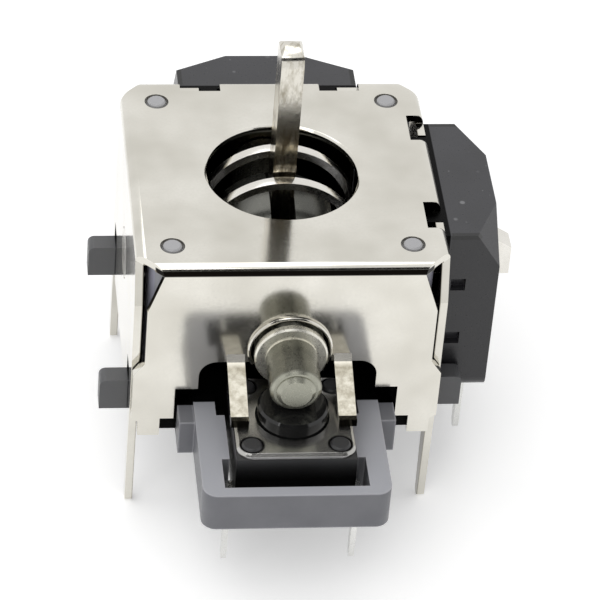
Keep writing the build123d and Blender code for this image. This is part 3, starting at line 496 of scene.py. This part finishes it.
def dusty_black():
    """Black moulded housings with dust, painted highlights on edges and a seam at each end, with painted
    shade along the cover's walls.
    """
    material = plastic("black_plastic", POT_BLACK, rough_low=0.26, rough_high=0.38)
    tree = material.node_tree
    plain = space(tree)
    spread = noise(tree, plain, scale=0.7, detail=2.0)
    thick = value_ramp(tree, spread, 0.0, DUST_THICK, DUST_THICK_RANGE)
    thin = value_ramp(tree, spread, DUST_THIN, 0.0, DUST_THIN_RANGE)
    for scale, amount in ((DUST_SMALL, thick), (DUST_LARGE, thin)):
        repaint(material, value_math(tree, "MULTIPLY", specks(tree, plain, scale), amount), DUST_TONE)
    # Painted highlight on edges
    repaint(material, edge_mask(tree, POT_EDGE_WIDTH, POT_EDGE_RANGE), POT_EDGE_HIGHLIGHT)
    repaint(material, at_both_pots(tree, plain, POT_OUT, POT_END, POT_HEIGHTS), POT_END_TONE)
    repaint(material, at_both_pots(tree, plain, POT_OUT, POT_SEAM, SEAM_HEIGHTS), SEAM_TONE)
    # Painted shade along the cover's walls
    shade(material, inside(tree, plain, SHADE_REACH, SHADE_TOP))
    return material


def switch_body():
    """Black body of the click switch, with painted shade towards its foot."""
    material = plastic("switch_black", SWITCH_BLACK, rough_low=0.3, rough_high=0.45)
    tree = material.node_tree
    # Painted shade towards the foot
    shade(material, step_mask(tree, space(tree), "Z", SWITCH_SHADE_TOP, SWITCH_SHADE_LOW))
    return material


def switch_plate():
    """Plate of the click switch with a painted highlight on its rim and rings of painted shade round its
    four rivets.
    """
    material = metal("switch_steel", SWITCH_STEEL, rough_low=0.20, rough_high=0.24, patch=0.8, relief=0.0)
    tree = material.node_tree
    # Painted highlight on the rim
    repaint(material, edge_mask(tree, RIM_WIDTH), RIM_HIGHLIGHT)
    # Painted shade in rings round the four rivets
    place = vector_math(tree, "ADD", space(tree), (0.0, SWITCH_CENTRE, 0.0))
    place = vector_math(tree, "MULTIPLY", place, (1.0, 1.0, 0.0))
    place = vector_math(tree, "ABSOLUTE", place)
    place = vector_math(tree, "SUBTRACT", place, (RIVET_PLACE, RIVET_PLACE, 0.0))
    distance = vector_math(tree, "LENGTH", place)
    rivet_shade_ring = value_ramp(tree, distance, 1.0, 0.0, (RIVET_RING - RIVET_RING_BLEND, RIVET_RING))
    repaint(material, rivet_shade_ring, RIVET_PAINTED_SHADE)
    return material


def arm_casting():
    """Satin grey casting of the lower arm with painted shade on the saddle, a painted highlight on the
    flange and a paler rod tip.
    """
    material = metal("arm_metal", CASTING, rough_low=0.24, rough_high=0.34, patch=1.2, relief=0.001)
    tree = material.node_tree
    tree.nodes["Principled BSDF"].inputs["Metallic"].default_value = CASTING_METALLIC
    plain = space(tree)
    # Painted shade on the saddle inside the opening
    repaint(material, inside(tree, plain, SADDLE_REACH, SADDLE_TOP), SADDLE_PAINTED_SHADE)
    # Painted highlight on the flange
    repaint(material, in_box(tree, plain, "X", FLANGE_HALF, FLANGE_ALONG, FLANGE_HEIGHTS), FLANGE_HIGHLIGHT)
    repaint(material, step_mask(tree, plain, "Y", ROD_TIP + EDGE_BLEND, ROD_TIP), ROD_TIP_TONE)
    return material


def board_material():
    """Pressed brown board with fibres."""
    material, tree, shader = new_material("phenolic")
    fibres = noise(tree, space(tree, stretch=(1.0, 1.0, 6.0)), scale=2.5, detail=5.0, rough=0.7)
    tree.links.new(tone_ramp(tree, fibres, BOARD_BROWN), shader.inputs["Base Color"])
    tree.links.new(value_ramp(tree, fibres, *BOARD_ROUGH), shader.inputs["Roughness"])
    tree.links.new(bump(tree, fibres, strength=0.3, depth=0.006), shader.inputs["Normal"])
    return material


MATERIALS = {
    "nickel_steel": cover_steel(),
    "grey_nylon": base_nylon(),
    "arm_metal": arm_casting(),
    "steel_pin": metal("steel_pin", PIN_STEEL, rough_low=0.2, rough_high=0.35),
    "stamped_steel": stick_steel(),
    "bow_metal": metal("bow_metal", BOW_STEEL, rough_low=0.14, rough_high=0.28),
    "black_plastic": dusty_black(),
    "spring_steel": metal("spring_steel", SPRING_STEEL, rough_low=0.15, rough_high=0.3),
    "switch_black": switch_body(),
    "switch_steel": switch_plate(),
    "plunger_black": plastic("plunger_black", PLUNGER_BLACK, rough_low=0.06, rough_high=0.12, relief=0.0005),
    "silver_contact": metal("silver_contact", CONTACT_TIN, rough_low=0.18, rough_high=0.32),
    "phenolic": board_material(),
    "white_plastic": plastic("white_plastic", ROTOR_WHITE, rough_low=0.28, rough_high=0.4),
}

for part in frame["record"]["subparts"]:
    piece = nodes[part["node"]]
    piece.data.materials.clear()
    piece.data.materials.append(MATERIALS[part["material_slot"]])

for node_name, width in EDGE_ROUNDING.items():
    piece = nodes[node_name]
    weld = piece.modifiers.new("weld", "WELD")
    weld.merge_threshold = WELD_DISTANCE
    rounding = piece.modifiers.new("rounding", "BEVEL")
    rounding.width = width * MM
    rounding.segments = ROUNDING_SEGMENTS
    rounding.limit_method = "ANGLE"
    rounding.angle_limit = ROUNDING_ANGLE


# Floor, reflection card, lamps, world and camera


def add_mesh(name, mesh_maker, material):
    """Object from a bmesh filled in by mesh_maker."""
    mesh = bpy.data.meshes.new(name)
    work = bmesh.new()
    mesh_maker(work)
    work.to_mesh(mesh)
    work.free()
    mesh.materials.append(material)
    item = bpy.data.objects.new(name, mesh)
    bpy.context.scene.collection.objects.link(item)
    return item


def seen_rays(tree):
    """1 for camera, glossy and transmission rays, 0 for the rest."""
    path = tree.nodes.new("ShaderNodeLightPath")
    seen = path.outputs["Is Camera Ray"]
    for ray in ("Is Glossy Ray", "Is Transmission Ray"):
        seen = value_math(tree, "MAXIMUM", seen, path.outputs[ray])
    return seen


def floor_material():
    """Pale floor that fades out at its rim."""
    material, tree, shader = new_material("floor")
    shader.inputs["Base Color"].default_value = FLOOR_TONE
    shader.inputs["Emission Color"].default_value = WHITE
    glow = value_ramp(tree, seen_rays(tree), 0.0, FLOOR_GLOW, WHOLE_RANGE)
    tree.links.new(glow, shader.inputs["Emission Strength"])
    shader.inputs["Roughness"].default_value = FLOOR_ROUGH
    shader.inputs["Specular IOR Level"].default_value = 0.0
    fade = value_ramp(tree, vector_math(tree, "LENGTH", space(tree)), 0.0, 1.0, FLOOR_FADE)
    clear = tree.nodes.new("ShaderNodeBsdfTransparent")
    blend = tree.nodes.new("ShaderNodeMixShader")
    tree.links.new(fade, blend.inputs[0])
    tree.links.new(shader.outputs[0], blend.inputs[1])
    tree.links.new(clear.outputs[0], blend.inputs[2])
    tree.links.new(blend.outputs[0], tree.nodes["Material Output"].inputs["Surface"])
    return material


def floor_mesh(work):
    """Round floor."""
    bmesh.ops.create_circle(work, cap_ends=True, radius=FLOOR_RADIUS, segments=FLOOR_SIDES)
    bmesh.ops.translate(work, verts=work.verts, vec=(0.0, 0.0, FLOOR_HEIGHT))


def card_material():
    """Matte dark card."""
    material, tree, shader = new_material("card")
    shader.inputs["Base Color"].default_value = CARD_TONE
    shader.inputs["Roughness"].default_value = CARD_ROUGH
    shader.inputs["Specular IOR Level"].default_value = 0.0
    return material


def card_mesh(work):
    """Upright curved card in front of the module."""
    rows = []
    for step in range(CARD_STEPS + 1):
        angle = math.radians(-CARD_HALF_ANGLE + 2.0 * CARD_HALF_ANGLE * step / CARD_STEPS)
        x = math.sin(angle) * CARD_RADIUS
        y = -math.cos(angle) * CARD_RADIUS
        rows.append([work.verts.new((x, y, CARD_LOW)), work.verts.new((x, y, CARD_HIGH))])
    for first, second in zip(rows, rows[1:]):
        work.faces.new([first[0], second[0], second[1], first[1]])


def lamp(name, place, size, power):
    """Square soft lamp aimed at the module."""
    data = bpy.data.lights.new(name, "AREA")
    data.shape = "SQUARE"
    data.size = size
    data.energy = power
    item = bpy.data.objects.new(name, data)
    item.location = place
    item.rotation_mode = "QUATERNION"
    item.rotation_quaternion = (LAMP_TARGET - Vector(place)).to_track_quat("-Z", "Y")
    bpy.context.scene.collection.objects.link(item)


def plain_world():
    """White for what the camera, metal and glass see, and soft fill for the rest."""
    world = bpy.data.worlds.new("world")
    bpy.context.scene.world = world
    world.use_nodes = True
    tree = world.node_tree
    background = tree.nodes["Background"]
    background.inputs["Color"].default_value = WHITE
    strength = value_ramp(tree, seen_rays(tree), WORLD_FILL, 1.0, WHOLE_RANGE)
    tree.links.new(strength, background.inputs["Strength"])


def photo_camera():
    """Camera with the photograph's place and roll."""
    flat = math.cos(VIEW_ELEVATION)
    back = Vector((
        math.sin(VIEW_AZIMUTH) * flat,
        -math.cos(VIEW_AZIMUTH) * flat,
        math.sin(VIEW_ELEVATION),
    ))
    level = Vector((math.cos(VIEW_AZIMUTH), math.sin(VIEW_AZIMUTH), 0.0))
    upright = back.cross(level)
    right = level * math.cos(VIEW_ROLL) + upright * math.sin(VIEW_ROLL)
    up = upright * math.cos(VIEW_ROLL) - level * math.sin(VIEW_ROLL)
    aim = (back - right * AIM_RIGHT - up * AIM_UP).normalized()
    right = up.cross(aim).normalized()
    up = aim.cross(right)
    data = bpy.data.cameras.new("camera")
    data.sensor_width = SENSOR
    data.lens = LENS
    data.clip_start = CLIP_NEAR
    data.clip_end = CLIP_FAR
    camera = bpy.data.objects.new("camera", data)
    bpy.context.scene.collection.objects.link(camera)
    turn = Matrix((right, up, aim)).transposed().to_4x4()
    camera.matrix_world = Matrix.Translation(VIEW_TARGET + back * VIEW_DISTANCE) @ turn
    bpy.context.scene.camera = camera


floor = add_mesh("floor", floor_mesh, floor_material())
card = add_mesh("card", card_mesh, card_material())
card.visible_camera = False
card.visible_diffuse = False
card.visible_shadow = False

lamp("top_lamp", place=(-0.06, 0.05, 0.30), size=0.36, power=0.42)
lamp("front_lamp", place=(-0.10, -0.20, 0.22), size=0.20, power=0.22)
plain_world()
bpy.context.scene.view_settings.view_transform = "Standard"

photo_camera()
